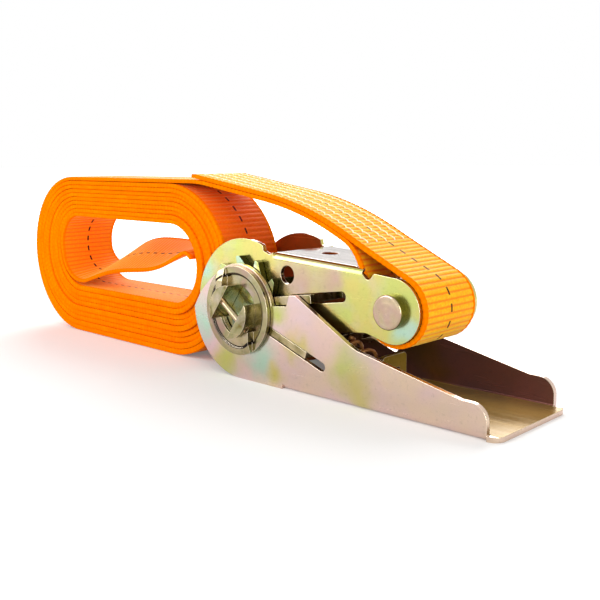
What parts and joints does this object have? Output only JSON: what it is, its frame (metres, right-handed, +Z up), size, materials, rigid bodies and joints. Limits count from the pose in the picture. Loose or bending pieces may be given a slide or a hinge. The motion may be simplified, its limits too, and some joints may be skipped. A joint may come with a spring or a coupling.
{
  "type": "ratchet strap",
  "caption": "Ratchet buckle with folded sheet-steel frame and handle, toothed split mandrel and sprung pawls, on a sewn loop of flat webbing wound into a hank.",
  "frame": {"origin": "on the mandrel's axis, at mid width of the webbing", "axes": "+X from the mandrel towards the lip of the closed handle, +Y across the webbing along the mandrel's axis, +Z up from the flat underside of the handle"},
  "size_m": [0.2394, 0.0486, 0.0669],
  "materials": {
    "zinc_steel": "yellow zinc plated",
    "spring_steel": "plated wire",
    "webbing": "woven polyester",
    "thread": "sewing thread"
  },
  "bodies": {
    "frame_body": {"frame": "zinc_steel", "rivet_pin": "zinc_steel", "rivet_washer": "zinc_steel", "frame_pawl_spring": "spring_steel"},
    "handle_body": {"handle": "zinc_steel", "handle_pawl_spring": "spring_steel"},
    "mandrel_body": {"mandrel_half_a": "zinc_steel", "mandrel_half_b": "zinc_steel", "ratchet_wheel_near": "zinc_steel", "ratchet_wheel_far": "zinc_steel", "retaining_disc_near": "zinc_steel", "retaining_disc_far": "zinc_steel", "cross_pin_near": "zinc_steel", "cross_pin_far": "zinc_steel"},
    "frame_pawl_body": {"frame_pawl": "zinc_steel"},
    "handle_pawl_body": {"handle_pawl": "zinc_steel"},
    "strap_body": {"webbing": "webbing", "stitching": "thread", "loop_roller": "zinc_steel"}
  },
  "joints": [
    {"name": "handle_hinge", "type": "hinge", "parent": "frame_body", "child": "handle_body", "pos_m": [0, 0, 0], "axis": [0, 1, 0], "range_deg": [0, 175]},
    {"name": "strap_swing", "type": "hinge", "parent": "frame_body", "child": "strap_body", "pos_m": [0.05947, 0, 0.00631], "axis": [0, 1, 0], "range_deg": [0, 151]},
    {"name": "mandrel_spin", "type": "hinge", "parent": "frame_body", "child": "mandrel_body", "pos_m": [0, 0, 0], "axis": [0, 1, 0], "continuous": true},
    {"name": "frame_pawl_slide", "type": "slide", "parent": "frame_body", "child": "frame_pawl_body", "axis": [0.9886, 0, 0.1507], "range_m": [0, 0.0034], "stiffness_N_per_m": 500, "springref_m": -0.005, "deforming": ["frame_pawl_spring"]},
    {"name": "handle_pawl_slide", "type": "slide", "parent": "handle_body", "child": "handle_pawl_body", "axis": [0.9426, 0, -0.3338], "range_m": [0, 0.0038], "stiffness_N_per_m": 500, "springref_m": -0.005, "deforming": ["handle_pawl_spring"]}
  ],
  "couplings": [
    {"joint": "strap_swing", "follows": "handle_hinge", "ratio": 0.86}
  ]
}
